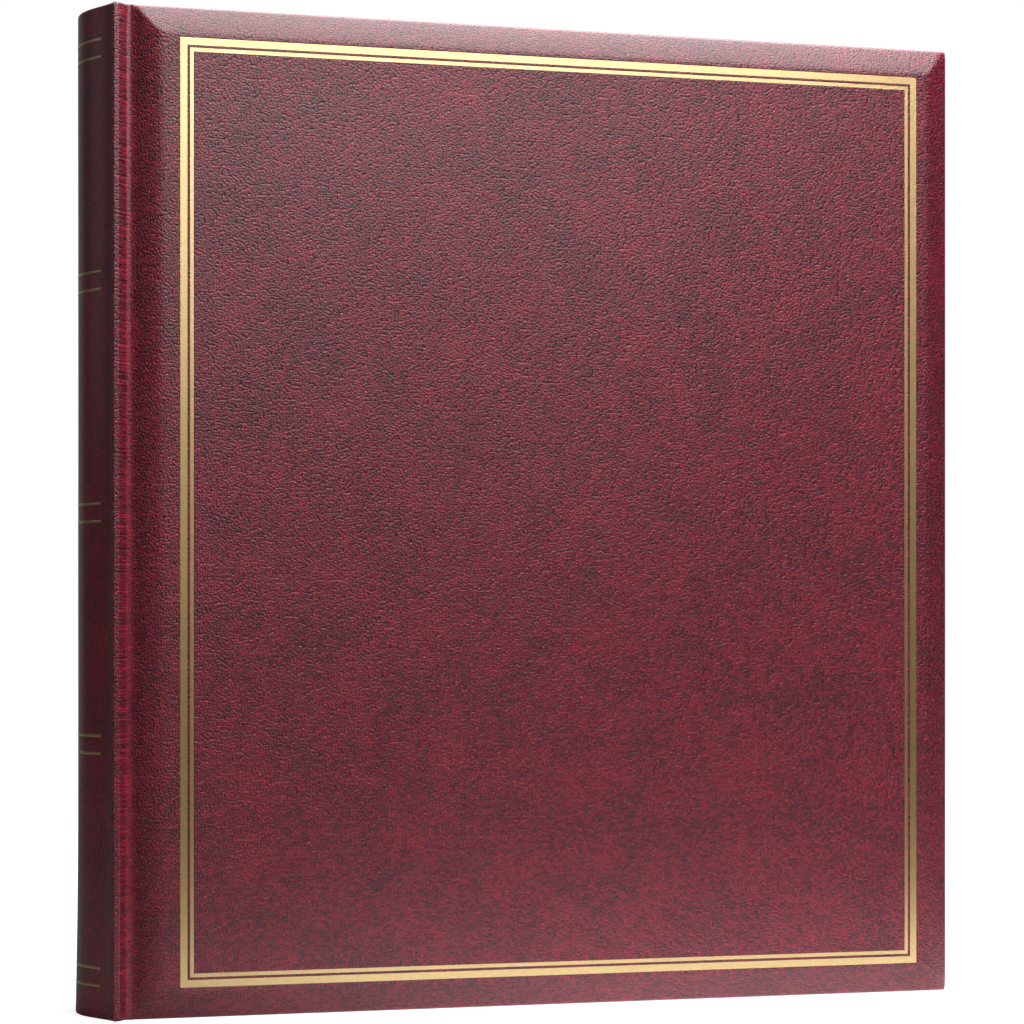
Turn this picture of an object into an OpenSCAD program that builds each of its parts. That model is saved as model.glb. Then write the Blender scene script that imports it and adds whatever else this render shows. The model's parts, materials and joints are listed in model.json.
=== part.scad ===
// Padded, case-bound stamp album (stockbook) standing on its tail edges.
// Spine at -X, fore edge at +X, front cover towards -Y, head up.
// Inside this file x = 0 is the plane of the spine's two shoulders, y = 0 is the middle
// of the thickness and z = 0 is the tail. centred() then puts the origin at the middle
// of the bounding box's foot.

/* [Covers] */
// Height of the covers, head to tail
cover_h = 320; // [220:1:400]
// Width of one padded panel, joint edge to fore edge
panel_w = 282.5; // [180:0.5:340]
// Thickness of the greyboard in a cover
board_t = 3.1; // [2.1:0.1:5]
// Height that the foam lifts the middle of a panel above its rim
padding_t = 4; // [2:0.1:6]
// Width of the border over which the padding rises
padding_border = 9.5; // [7:0.5:20]
// Thickness of the leatherette skin
skin_t = 0.6; // [0.4:0.05:0.9]
// Width of skin turned in over the board's and the spine card's edges
turn_in_w = 15; // [8:0.5:25]
// Thickness of the paper pasted inside a cover
endpaper_t = 0.3; // [0.2:0.05:0.6]
// Distance that a cover stands proud of the leaves at head, tail and fore edge
square_w = 4; // [2.5:0.5:8]
// Radius of a cover's two corners at the fore edge
corner_r = 0.9; // [0.7:0.1:4]
// Radius between a cover's upright rim and its padded border
rim_r = 0.8; // [0.4:0.1:1.2]

/* [Joint] */
// Distance from the spine plane to the foot of the shoulder's slope
shoulder_w = 5; // [4:0.1:8]
// Width of the flat land on top of a shoulder
shoulder_land = 1.25; // [0.4:0.05:2]
// Radius of the roundings on both sides of that land
shoulder_r = 0.7; // [0.65:0.05:1.4]
// Distance that the shoulder's land stays below the panel's face
shoulder_drop = 0.3; // [0:0.05:0.8]
// Width of the flat bottom of the joint groove
groove_w = 2.3; // [1.8:0.1:4]

/* [Spine] */
// Height of the spine's arch above the shoulders
spine_bulge = 5.3; // [3.5:0.1:8]
// Fullness of the arch: less is rounder, more is more peaked
spine_fullness = 0.85; // [0.6:0.05:1.2]
// Thickness of the stiff card inside the spine
spine_card_t = 1.8; // [1:0.1:2.4]
// Free space between the spine card and the back of the leaf block
hollow_gap = 1.2; // [1:0.1:2]
// Thickness of the paper lining on the back of the leaf block
lining_t = 0.3; // [0.2:0.05:0.6]
// Thickness of the gauze glued round the leaf block
mull_t = 0.3; // [0.2:0.05:0.4]
// Distance that the gauze stops short of the block's head and tail
mull_margin = 12; // [5:1:30]
// Radius of the head and tail bands' bead
band_r = 1.1; // [0.8:0.1:1.5]

/* [Gold rules] */
// Distance from the panel's head and tail edges to the frame
frame_margin = 10; // [9.8:0.1:20]
// Distance from the panel's fore edge to the frame
frame_fore_margin = 12.9; // [9.8:0.1:24]
// Distance from the panel's joint edge to the frame
frame_joint_margin = 14.2; // [9.8:0.1:24]
// Width of the frame's outer rule
wide_rule_w = 2.4; // [1:0.1:4]
// Gap between the frame's two rules
rule_gap = 0.75; // [0.4:0.05:2]
// Width of the frame's inner rule
thin_rule_w = 1.3; // [0.6:0.1:2.5]
// Number of pairs of rules across the spine
spine_pairs = 5; // [2:1:7]
// Height of the first pair's centre above the tail
spine_pair_margin = 13.2; // [8:0.1:30]
// Distance between the two rules of a pair, centre to centre
spine_pair_pitch = 5.6; // [3:0.1:9]
// Width of one spine rule
spine_rule_w = 0.85; // [0.5:0.05:2]
// Length of a spine rule, measured straight across the spine
spine_rule_span = 31.4; // [20:0.1:40]
// Thickness of the gold foil
foil_t = 0.12; // [0.08:0.02:0.2]
// Depth of the foil's face below the skin's face
foil_sink = 0.08; // [0.04:0.02:0.15]

/* [Leaves] */
// Number of leaves, half of them opening with each cover
leaf_count = 16; // [8:2:18]
// Thickness of a leaf's card
card_t = 1; // [0.6:0.1:1.4]
// Thickness of the linen tape on each face of the card's hinge edge
tape_t = 0.2; // [0.15:0.05:0.3]
// Width of the linen tape on the card
tape_w = 8; // [4:0.5:14]
// Thickness of a leaf's linen hinge
linen_t = 0.35; // [0.2:0.05:0.45]
// Free width of the linen between its root and the card
linen_w = 9; // [8:0.5:14]
// Thickness of the glassine sheet that lies on each leaf's front
interleaf_t = 0.1; // [0.05:0.05:0.15]
// Air between one leaf and the next
leaf_gap = 0.5; // [0.4:0.05:0.8]
// Thickness of the loose half of an endpaper
flyleaf_t = 0.3; // [0.2:0.05:0.4]
// Air on each side of a flyleaf
flyleaf_gap = 0.35; // [0.3:0.05:0.6]
// Distance that the guards reach past the panels' joint edge
guard_reach = 1.9; // [1.5:0.1:4]
// Air between a leaf's linen root and the guards
root_gap = 0.225; // [0.2:0.025:0.4]

/* [Pockets] */
// Number of pocket strips on one page
pocket_rows = 9; // [5:1:10]
// Thickness of a pocket strip
strip_t = 0.12; // [0.08:0.02:0.14]
// Height of a pocket strip
strip_h = 25; // [15:0.5:29]
// Bare margin of the card round the strips
strip_margin = 6; // [3:0.5:15]

/* [Hidden] */

function two_digits(k) = str(k < 10 ? "0" : "", k);
function leaf_name(k) = str("leaf_", two_digits(k));
function pockets_name(k) = str("pockets_", two_digits(k));

maroon = "#6B2E3A";
gold = "#D9B44A";
grey = "#8E8A84";
foam_white = "#E9E6DC";
paper_white = "#EFEBDF";
gauze = "#DAD2BE";
kraft = "#B08B5B";
black_card = "#232224";
glassine = "#DDE4E6";

cut = 1;              // how far a cutting solid passes the face that it cuts
arch_steps = 20;      // straight facets in half of the spine's arch
crest_steps = 6;      // facets in each rounding of a shoulder
rise_steps = 8;       // facets in the padding's rounded border
rim_steps = 3;        // facets between a rim and the border
corner_sides = 32;    // facets of the circle that rounds a cover's corner
root_sides = 24;      // facets of a leaf's rounded linen root
groove_lap = 0.2;     // flat stretch of spine leather in the groove's bottom
guard_slot_w = 0.4;   // gap between two guards
guard_slot_d = 4;     // depth of the gaps between the guards

// Thickness, built up from the leaves outwards
leaf_pitch = card_t + 2 * tape_t + interleaf_t + leaf_gap;
block_t = leaf_count * leaf_pitch + 2 * (flyleaf_t + 2 * flyleaf_gap);
cover_t = endpaper_t + board_t + skin_t + padding_t;
album_t = block_t + 2 * cover_t;
half_t = album_t / 2;

// Distances from the middle plane to the faces inside a cover
endpaper_y = block_t / 2;
turn_in_y = endpaper_y + endpaper_t;
board_rim_y = turn_in_y + skin_t;
board_top_y = turn_in_y + board_t;
rim_y = board_top_y + skin_t;

// Stations along X, from the spine plane
panel_x0 = shoulder_w + groove_w;
panel_x1 = panel_x0 + panel_w;
guard_x1 = panel_x0 + guard_reach;
root_x = guard_x1 + root_gap + linen_t / 2;
card_x0 = root_x + linen_w;
leaf_x1 = panel_x1 - square_w;

// Heights of the leaf block
leaf_z0 = square_w;
leaf_h = cover_h - 2 * square_w;

// Distances of the spine's layers behind its outer face
card_in = skin_t;
card_out = card_in + spine_card_t;
lining_in = card_out + hollow_gap;
mull_in = lining_in + lining_t;
guards_in = mull_in + mull_t;
guards_half = endpaper_y - flyleaf_gap - flyleaf_t - mull_t;

// Centres of a shoulder's two roundings, and the angle at which its slope falls
crest_y = half_t - shoulder_drop - shoulder_r;
crest_x = arch_x(crest_y) + shoulder_r;
land_x1 = crest_x + shoulder_land;
slope_run = shoulder_w - land_x1;
slope_fall = crest_y - rim_y;
slope_angle = atan2(slope_fall, slope_run)
    + asin(shoulder_r / norm([slope_run, slope_fall]));

function reversed(list) = [for (i = [len(list) - 1:-1:0]) list[i]];
function mirrored(path) = [for (p = reversed(path)) [p.x, -p.y]];

// Outer face of the spine: a raised cosine between the two shoulders
function arch_x(y) = -spine_bulge * pow((1 + cos(180 * y / half_t)) / 2, spine_fullness);

// Face of the spine leather on the +Y side, a depth d below its outer face: groove,
// slope, land with its two roundings, and half of the arch
function shoulder_path(d) = concat(
    [
        [shoulder_w + groove_lap, rim_y - d],
        [shoulder_w - d * tan(slope_angle / 2), rim_y - d],
    ],
    [
        for (i = [0:crest_steps]) let (a = slope_angle * (1 - i / crest_steps))
            [land_x1 + (shoulder_r - d) * sin(a), crest_y + (shoulder_r - d) * cos(a)]
    ],
    [
        for (i = [0:crest_steps]) let (a = -90 * i / crest_steps)
            [crest_x + (shoulder_r - d) * sin(a), crest_y + (shoulder_r - d) * cos(a)]
    ],
    [for (i = [arch_steps - 1:-1:1]) let (y = crest_y * i / arch_steps) [arch_x(y) + d, y]]
);
function spine_path(d) = concat(shoulder_path(d), [[arch_x(0) + d, 0]],
    mirrored(shoulder_path(d)));

// Line parallel to the arch, a distance d behind it, from one shoulder to the other
function arch_line(d) = [
    for (i = [-arch_steps - 1:arch_steps + 1])
        let (y = abs(i) > arch_steps ? sign(i) * half_t : crest_y * i / arch_steps)
        [arch_x(y) + d, y]
];

// Padded border of a panel, from its rim at x = 0 to where the face is flat, with a
// rounding at the rim
function border_line(rounding) =
    let (r = (pow(padding_border, 2) + pow(padding_t, 2)) / (2 * padding_t))
    let (foot = asin((padding_border - rounding) / (r - rounding)))
    let (low = padding_t - r + (r - rounding) * cos(foot))
    concat(
        rounding > 0 ? [
            for (i = [0:rim_steps - 1]) let (a = 90 - (90 - foot) * i / rim_steps)
                [rounding * (1 - sin(a)), low + rounding * cos(a)]
        ] : [],
        [
            for (i = [0:rise_steps]) let (a = foot * (1 - i / rise_steps))
                [padding_border - r * sin(a), padding_t - r * (1 - cos(a))]
        ]
    );

// Section of a padded panel along one direction: flat base, upright rims, each with its
// rounding, and a padded top. open carries the first rim past its edge, where the panel
// stays open.
function padded_section(from, to, base, open, roundings) = concat(
    [[to, base], [from - open, base]],
    open > 0 ? [[from - open, 0]] : [],
    [for (p = border_line(roundings[0])) [from + p.x, p.y]],
    [for (p = reversed(border_line(roundings[1]))) [to - p.x, p.y]]
);

// Distance from the middle plane to a leaf's card, front leaf first
function leaf_y(k) = (k - (leaf_count + 1) / 2) * leaf_pitch;

module centred() {
    translate([(spine_bulge - panel_x1) / 2, 0, 0]) children();
}

module front_side() {
    mirror([0, 1, 0]) children();
}

// A box given by its lowest and highest corners
module block(low, high) {
    translate(low) cube(high - low);
}

// A layer of the spine between two distances behind its outer face
module arch_band(near, far, half_span) {
    intersection() {
        polygon(concat(arch_line(near), reversed(arch_line(far))));
        translate([-spine_bulge - cut, -half_span])
            square([spine_bulge + far + 2 * cut, 2 * half_span]);
    }
}

// ---------------------------------------------------------------- Spine

module spine_rules_section(near, far) {
    gap = spine_pair_pitch / 2;
    rise = (cover_h - 2 * spine_pair_margin) / (spine_pairs - 1);
    for (i = [0:spine_pairs - 1], s = [-1, 1])
        translate([0, 0, spine_pair_margin + i * rise + s * gap - spine_rule_w / 2])
            linear_extrude(spine_rule_w) arch_band(near, far, spine_rule_span / 2);
}

module spine_card_section(far) {
    intersection() {
        polygon(spine_path(card_in));
        arch_band(card_in, far, half_t);
    }
}

module spine_turn_in() {
    linear_extrude(skin_t) spine_card_section(card_out + skin_t);
    linear_extrude(turn_in_w) difference() {
        spine_card_section(card_out + skin_t);
        arch_band(card_in - cut, card_out, half_t + cut);
    }
}

module spine_leather() {
    color(maroon) centred() difference() {
        union() {
            linear_extrude(cover_h)
                polygon(concat(spine_path(0), reversed(spine_path(skin_t))));
            spine_turn_in();
            translate([0, 0, cover_h]) mirror([0, 0, 1]) spine_turn_in();
        }
        spine_rules_section(-cut, foil_sink + foil_t);
    }
}

module spine_card() {
    color(grey) centred() translate([0, 0, skin_t])
        linear_extrude(cover_h - 2 * skin_t) spine_card_section(card_out);
}

module spine_gold_rules() {
    color(gold) centred() spine_rules_section(foil_sink, foil_sink + foil_t);
}

module spine_lining() {
    color(kraft) centred() translate([0, 0, leaf_z0])
        linear_extrude(leaf_h) arch_band(lining_in, mull_in, guards_half);
}

module spine_mull() {
    color(gauze) centred() translate([0, 0, leaf_z0 + mull_margin])
        linear_extrude(leaf_h - 2 * mull_margin) {
            arch_band(mull_in, guards_in, guards_half + mull_t);
            for (s = [-1, 1]) translate([arch_x(guards_half + mull_t) + mull_in,
                    s * (guards_half + mull_t / 2) - mull_t / 2])
                square([shoulder_w - arch_x(guards_half + mull_t) - mull_in, mull_t]);
        }
}

module guard_block() {
    color(black_card) centred() translate([0, 0, leaf_z0])
        linear_extrude(leaf_h) difference() {
            intersection() {
                polygon(concat(arch_line(guards_in),
                    [[guard_x1, half_t], [guard_x1, -half_t]]));
                translate([-spine_bulge, -guards_half])
                    square([spine_bulge + guard_x1, 2 * guards_half]);
            }
            for (k = [1:leaf_count - 1])
                translate([guard_x1 - guard_slot_d,
                        leaf_y(k) + leaf_pitch / 2 - guard_slot_w / 2])
                    square([guard_slot_d + cut, guard_slot_w]);
        }
}

// A half-round bead bent to the back of the leaf block
module band() {
    reach = guards_half - band_r;
    near_x = arch_x(0) + guards_in + band_r;
    sag = arch_x(reach) - arch_x(0);
    bend_r = (reach * reach + sag * sag) / (2 * sag);
    half_turn = asin(reach / bend_r);
    translate([near_x + bend_r, 0, 0]) rotate([0, 0, 180 - half_turn])
        rotate_extrude(angle = 2 * half_turn, $fn = 180) translate([bend_r, 0])
            intersection() {
                translate([0, band_r / 2]) circle(band_r, $fn = 32);
                translate([-band_r, 0]) square([2 * band_r, 2 * band_r]);
            }
}

module head_band() {
    color("#A8323C") centred() translate([0, 0, leaf_z0 + leaf_h]) band();
}

module tail_band() {
    color("#A8323C") centred() translate([0, 0, leaf_z0]) mirror([0, 0, 1]) band();
}

// ---------------------------------------------------------------- Covers
// Each piece of a cover is drawn on the +Y side and mirrored for the front.

// Cutters that round a panel's two corners at the fore edge, a distance inset in
module fore_corners(inset) {
    r = corner_r - inset;
    for (s = [-1, 1])
        translate([panel_x1 - inset - r, 0, cover_h / 2 + s * (cover_h / 2 - inset - r)])
            rotate([90, 0, 0]) linear_extrude(album_t + 2 * cut, center = true) difference() {
                translate([0, (s - 1) / 2 * (r + cut)]) square(r + cut);
                circle(r, $fn = corner_sides);
            }
}

// A panel with mitred padded borders, its rim at rim_level
module padded_panel(inset, base, rim_level, open = 0, rounding = 0) {
    x1 = panel_x1 - inset;
    difference() {
        translate([0, rim_level, 0]) intersection() {
            linear_extrude(cover_h)
                polygon(padded_section(panel_x0, x1, base, open, [0, rounding]));
            translate([x1 + cut, 0, 0]) rotate([0, -90, 0]) linear_extrude(panel_w + 3 * cut)
                polygon(padded_section(inset, cover_h - inset, base, 0,
                    [rounding, rounding]));
        }
        fore_corners(inset);
    }
}

module cover_leather() {
    difference() {
        padded_panel(0, turn_in_y - rim_y, rim_y, rounding = rim_r);
        padded_panel(skin_t, board_rim_y - board_top_y, board_top_y, open = cut);
        block([panel_x0 - cut, turn_in_y - cut, turn_in_w],
              [panel_x1 - turn_in_w, board_top_y, cover_h - turn_in_w]);
    }
}

module cover_padding() {
    padded_panel(skin_t, 0, board_top_y);
}

module cover_board() {
    difference() {
        block([panel_x0, board_rim_y, skin_t],
              [panel_x1 - skin_t, board_top_y, cover_h - skin_t]);
        fore_corners(skin_t);
    }
    block([panel_x0, turn_in_y, turn_in_w],
          [panel_x1 - turn_in_w, board_top_y, cover_h - turn_in_w]);
}

module cover_pastedown() {
    block([panel_x0, endpaper_y, square_w], [leaf_x1, turn_in_y, cover_h - square_w]);
}

module cover_joint() {
    block([shoulder_w + groove_lap, board_top_y, 0], [panel_x0, rim_y, cover_h]);
}

// A rectangular rule of the given width, a distance inside the gold frame's outer edge
module frame_rule(inside, width, near, far) {
    low = [panel_x0 + frame_joint_margin + inside, frame_margin + inside];
    high = [panel_x1 - frame_fore_margin - inside, cover_h - frame_margin - inside];
    rotate([90, 0, 0]) translate([0, 0, -far]) linear_extrude(far - near) difference() {
        translate(low) square(high - low);
        translate(low + [1, 1] * width) square(high - low - [2, 2] * width);
    }
}

module wide_rule(near, far) {
    frame_rule(0, wide_rule_w, near, far);
}

module thin_rule(near, far) {
    frame_rule(wide_rule_w + rule_gap, thin_rule_w, near, far);
}

module front_cover_leather() {
    foil_bed_y = half_t - foil_sink - foil_t;
    color(maroon) centred() front_side() difference() {
        cover_leather();
        wide_rule(foil_bed_y, half_t + cut);
        thin_rule(foil_bed_y, half_t + cut);
    }
}

module front_gold_rule_wide() {
    color(gold) centred() front_side()
        wide_rule(half_t - foil_sink - foil_t, half_t - foil_sink);
}

module front_gold_rule_thin() {
    color(gold) centred() front_side()
        thin_rule(half_t - foil_sink - foil_t, half_t - foil_sink);
}

module back_cover_leather() { color(maroon) centred() cover_leather(); }
module front_joint() { color(maroon) centred() front_side() cover_joint(); }
module back_joint() { color(maroon) centred() cover_joint(); }
module front_padding() { color(foam_white) centred() front_side() cover_padding(); }
module back_padding() { color(foam_white) centred() cover_padding(); }
module front_board() { color(grey) centred() front_side() cover_board(); }
module back_board() { color(grey) centred() cover_board(); }
module front_pastedown() { color(paper_white) centred() front_side() cover_pastedown(); }
module back_pastedown() { color(paper_white) centred() cover_pastedown(); }

// ---------------------------------------------------------------- Leaves

// A thin sheet that hinges about a rounded root, centred on y = 0
module rooted_sheet(thickness, x1) {
    translate([root_x, 0, leaf_z0]) cylinder(leaf_h, r = thickness / 2, $fn = root_sides);
    block([root_x, -thickness / 2, leaf_z0], [x1, thickness / 2, leaf_z0 + leaf_h]);
}

module flyleaf() {
    translate([0, endpaper_y - flyleaf_gap - flyleaf_t / 2, 0])
        rooted_sheet(flyleaf_t, leaf_x1);
}

module front_flyleaf() { color(paper_white) centred() front_side() flyleaf(); }
module back_flyleaf() { color(paper_white) centred() flyleaf(); }

module leaf(k) {
    face = card_t / 2;
    color(black_card) centred() translate([0, leaf_y(k), 0]) {
        rooted_sheet(linen_t, card_x0 + tape_w);
        block([card_x0, -face, leaf_z0], [leaf_x1, face, leaf_z0 + leaf_h]);
        block([card_x0, -face - tape_t, leaf_z0],
              [card_x0 + tape_w, face + tape_t, leaf_z0 + leaf_h]);
    }
}

// Pocket strips on both faces of a leaf, and the glassine sheet over its front
module pockets(k) {
    face = card_t / 2;
    row_pitch = (leaf_h - 2 * strip_margin) / pocket_rows;
    low_x = card_x0 + tape_w + strip_margin;
    color(glassine) centred() translate([0, leaf_y(k), 0]) {
        for (row = [0:pocket_rows - 1], s = [-1, 1]) {
            low_z = leaf_z0 + strip_margin + row * row_pitch;
            mid_y = s * (face + strip_t / 2);
            block([low_x, mid_y - strip_t / 2, low_z],
                  [leaf_x1 - strip_margin, mid_y + strip_t / 2, low_z + strip_h]);
        }
        block([card_x0, -face - tape_t - interleaf_t, leaf_z0],
              [leaf_x1, -face - tape_t, leaf_z0 + leaf_h]);
    }
}

spine_leather();
spine_card();
spine_gold_rules();
spine_lining();
spine_mull();
guard_block();
head_band();
tail_band();
front_joint();
front_cover_leather();
front_padding();
front_board();
front_pastedown();
front_gold_rule_wide();
front_gold_rule_thin();
front_flyleaf();
back_joint();
back_cover_leather();
back_padding();
back_board();
back_pastedown();
back_flyleaf();
for (k = [1:leaf_count]) {
    leaf(k);
    pockets(k);
}
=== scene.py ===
import json
import math
import random
from collections import namedtuple

import bpy
import numpy as np
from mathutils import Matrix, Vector


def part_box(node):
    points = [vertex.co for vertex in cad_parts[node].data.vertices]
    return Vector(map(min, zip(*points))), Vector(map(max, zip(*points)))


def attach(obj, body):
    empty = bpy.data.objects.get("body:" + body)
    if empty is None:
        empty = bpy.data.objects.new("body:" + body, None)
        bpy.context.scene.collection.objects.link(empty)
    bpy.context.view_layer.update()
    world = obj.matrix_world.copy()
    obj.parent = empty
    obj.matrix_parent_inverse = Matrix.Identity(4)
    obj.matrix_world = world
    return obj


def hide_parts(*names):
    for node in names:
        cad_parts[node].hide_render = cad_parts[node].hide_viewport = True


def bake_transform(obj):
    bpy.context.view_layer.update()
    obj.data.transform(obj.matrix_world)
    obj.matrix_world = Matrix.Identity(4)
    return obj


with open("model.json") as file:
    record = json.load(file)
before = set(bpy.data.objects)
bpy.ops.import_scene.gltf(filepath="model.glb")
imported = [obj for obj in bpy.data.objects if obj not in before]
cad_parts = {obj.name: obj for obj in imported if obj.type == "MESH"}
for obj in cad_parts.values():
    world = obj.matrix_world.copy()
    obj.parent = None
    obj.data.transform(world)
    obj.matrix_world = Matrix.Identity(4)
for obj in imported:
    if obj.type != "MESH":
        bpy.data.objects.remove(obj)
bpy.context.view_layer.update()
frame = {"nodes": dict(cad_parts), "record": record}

MM = 0.001

# A closed stamp album that stands on its tail: padded leather covers with a gold frame, a
# spine with gold rules, and soft skins across both joint grooves. The leather and the foil
# are built here in place of the plain solids. All other nodes keep their own meshes and
# get a material.

# ---------------------------------------------------------------- Sizes
# In metres: places read from the frame, and the few sizes of the part that no box gives.
# The outline that spine, joint groove and panel share is worked out from them below.

spine_low, spine_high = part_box("spine_leather")
panel_low, panel_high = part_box("front_cover_leather")
joint_low, joint_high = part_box("front_joint")

HEIGHT = panel_high.z
HALF_T = -panel_low.y                # outer face of a padded panel
RIM_Y = -joint_low.y                 # outer face of the groove's bottom and of the rims
TURN_IN_Y = -panel_high.y            # inner face of the turned-in skin
PANEL_X0, PANEL_X1 = panel_low.x, panel_high.x
JOINT_X0 = joint_low.x               # the spine's leather ends here
SKIN_T = joint_high.y - joint_low.y
LIFT = HALF_T - RIM_Y                # rise of the padding

BULGE = 5.3 * MM                     # height of the spine's arch
FULLNESS = 0.85                      # less is a rounder arch, more a peaked one
SPINE_X = spine_low.x + BULGE        # plane of the two shoulders
# A shoulder's rounding and its flat top. The part has 0.7 and 1.25 mm; they are sharper
# here, because softened() below rounds the side towards the groove once more.
SHOULDER_R = 0.5 * MM
SHOULDER_LAND = 1.45 * MM
CREST_Y = spine_high.y - SHOULDER_R  # centre line of a shoulder's rounding
BORDER = 9.5 * MM                    # width of the padded borders
GROOVE_LAP = 0.2 * MM                # flat leather of the spine in the groove's bottom
TURN_IN_W = 15 * MM
SPINE_CARD_T = 1.8 * MM
DRESSED_T = 0.45 * MM                # thickness of the skins here, thinner than SKIN_T
DELTA = 0.02 * MM                    # step over which slopes are measured


def arch_x(y):
    """X of the spine's outer face at distance y from the middle plane."""
    y = np.clip(np.abs(y) / HALF_T, 0, 1)
    return SPINE_X - BULGE * ((1 + np.cos(math.pi * y)) / 2) ** FULLNESS


CREST_X = float(arch_x(CREST_Y)) + SHOULDER_R
LAND_X1 = CREST_X + SHOULDER_LAND
SLOPE_X1 = JOINT_X0 - GROOVE_LAP     # foot of the shoulder's slope


# ---------------------------------------------------------------- Groove outline

def smooth(t):
    return t * t * (3 - 2 * t)


def sharp_depth(x):
    """Depth below the panel's face of shoulder, slope, groove and joint border at x, with
    the corners of the solids."""
    land_drop = HALF_T - CREST_Y - SHOULDER_R
    run, fall = SLOPE_X1 - LAND_X1, CREST_Y - RIM_Y
    angle = math.atan2(fall, run) + math.asin(SHOULDER_R / math.hypot(run, fall))
    slope_x0 = LAND_X1 + SHOULDER_R * math.sin(angle)
    slope_d0 = land_drop + SHOULDER_R * (1 - math.cos(angle))
    r = (BORDER ** 2 + LIFT ** 2) / (2 * LIFT)
    if x <= LAND_X1:
        return land_drop
    if x <= slope_x0:
        return land_drop + SHOULDER_R - math.sqrt(SHOULDER_R ** 2 - (x - LAND_X1) ** 2)
    if x <= SLOPE_X1:
        return slope_d0 + (x - slope_x0) / (SLOPE_X1 - slope_x0) * (LIFT - slope_d0)
    if x <= PANEL_X0:
        return LIFT
    if x <= PANEL_X0 + BORDER:
        return r - math.sqrt(r ** 2 - (PANEL_X0 + BORDER - x) ** 2)
    return 0.0


OUTLINE_STEP = 0.05 * MM
OUTLINE_MARGIN = 6 * MM
SHARP_REACH = 0.8 * MM               # the softening fades in over this, from the crest on
FIRM_SOFTNESS = 0.6 * MM             # reach over which the shoulder's side rounds off
LOOSE_SOFTNESS = 2.4 * MM            # the same in the groove's foot and at head and tail
END_REACH = 7 * MM                   # how far from head and tail the skin lies looser
END_SHARE = 0.6
OUTLINE_X = np.arange(CREST_X - OUTLINE_MARGIN, PANEL_X0 + BORDER + OUTLINE_MARGIN,
                      OUTLINE_STEP)
SHARP_DEPTHS = np.array([sharp_depth(x) for x in OUTLINE_X])


def softened(reach):
    kernel = np.hanning(2 * int(reach / OUTLINE_STEP) + 3)
    padded = np.pad(SHARP_DEPTHS, len(kernel) // 2, mode="edge")
    soft = np.convolve(padded, kernel / kernel.sum(), mode="valid")
    share = np.clip((OUTLINE_X - CREST_X) / SHARP_REACH, 0, 1)
    return SHARP_DEPTHS * (1 - share) + soft * share


FIRM_DEPTHS, LOOSE_DEPTHS = softened(FIRM_SOFTNESS), softened(LOOSE_SOFTNESS)


def groove_depth(x, z=HEIGHT / 2):
    """Depth of the leather's face below the panel's face, from shoulder to panel."""
    near = np.clip(1 - np.minimum(z, HEIGHT - z) / END_REACH, 0, 1)
    foot = np.clip((x - SLOPE_X1) / (PANEL_X0 - SLOPE_X1), 0, 1)
    share = np.maximum(END_SHARE * smooth(near), smooth(foot))
    return (np.interp(x, OUTLINE_X, FIRM_DEPTHS) * (1 - share)
            + np.interp(x, OUTLINE_X, LOOSE_DEPTHS) * share)


# ---------------------------------------------------------------- Leather's slow waves

def make_waves(seed, count, shortest, longest):
    """Random plane waves, each (radians per metre on both axes, phase, height share)."""
    rng = random.Random(seed)
    waves = []
    for _ in range(count):
        length = rng.uniform(shortest, longest)
        turn = rng.uniform(0, math.tau)
        waves.append((math.cos(turn) * math.tau / length, math.sin(turn) * math.tau / length,
                      rng.uniform(0, math.tau), length / longest))
    return waves


def wave_height(waves, a, b, amount):
    total = sum(share * np.sin(along * a + across * b + phase)
                for along, across, phase, share in waves)
    return amount * total / math.sqrt(len(waves))


# ---------------------------------------------------------------- Mesh helpers

SHARP_ANGLE = math.radians(50)       # a sheet's edges over this angle aren't smoothed


def new_object(name, vertices, faces, material, smooth=True):
    mesh = bpy.data.meshes.new(name)
    mesh.from_pydata([tuple(map(float, v)) for v in vertices], [], faces)
    mesh.update()
    for polygon in mesh.polygons:
        polygon.use_smooth = smooth
    mesh.materials.append(material)
    piece = bpy.data.objects.new(name, mesh)
    bpy.context.collection.objects.link(piece)
    return piece


def grid_faces(rows, columns, start=0, flip=False):
    faces = []
    for i in range(rows - 1):
        for j in range(columns - 1):
            a = start + i * columns + j
            quad = (a, a + 1, a + columns + 1, a + columns)
            faces.append(quad[::-1] if flip else quad)
    return faces


def vertex_normals(vertices, faces):
    normals = np.zeros_like(vertices)
    for face in faces:
        a, b, c = vertices[face[0]], vertices[face[1]], vertices[face[2]]
        d = vertices[face[-1]]
        size = np.cross(c - a, d - b) if len(face) == 4 else np.cross(b - a, c - a)
        for v in face:
            normals[v] += size
    return normals / np.maximum(np.linalg.norm(normals, axis=1, keepdims=True), 1e-12)


def solid_sheet(name, vertices, faces, thickness, material):
    """A closed sheet: its outer face at the given points, its thickness behind it. The
    inner face never stands out past the outer one's lowest and highest points."""
    vertices = np.array(vertices, float)
    count = len(vertices)
    inner = vertices - vertex_normals(vertices, faces) * thickness
    inner[:, 2] = np.clip(inner[:, 2], vertices[:, 2].min(), vertices[:, 2].max())
    directed = {(f[i], f[(i + 1) % len(f)]) for f in faces for i in range(len(f))}
    rims = [(b, a, a + count, b + count) for a, b in directed if (b, a) not in directed]
    rims.sort()
    behind = [tuple(v + count for v in reversed(f)) for f in faces]
    piece = new_object(name, np.vstack([vertices, inner]), list(faces) + behind + rims,
                       material)
    piece.data.set_sharp_from_angle(angle=SHARP_ANGLE)
    return piece


def spread(low, high, step):
    """Even stations from low to high, about a step apart."""
    return np.linspace(low, high, max(2, int(round((high - low) / step)) + 1))


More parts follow.
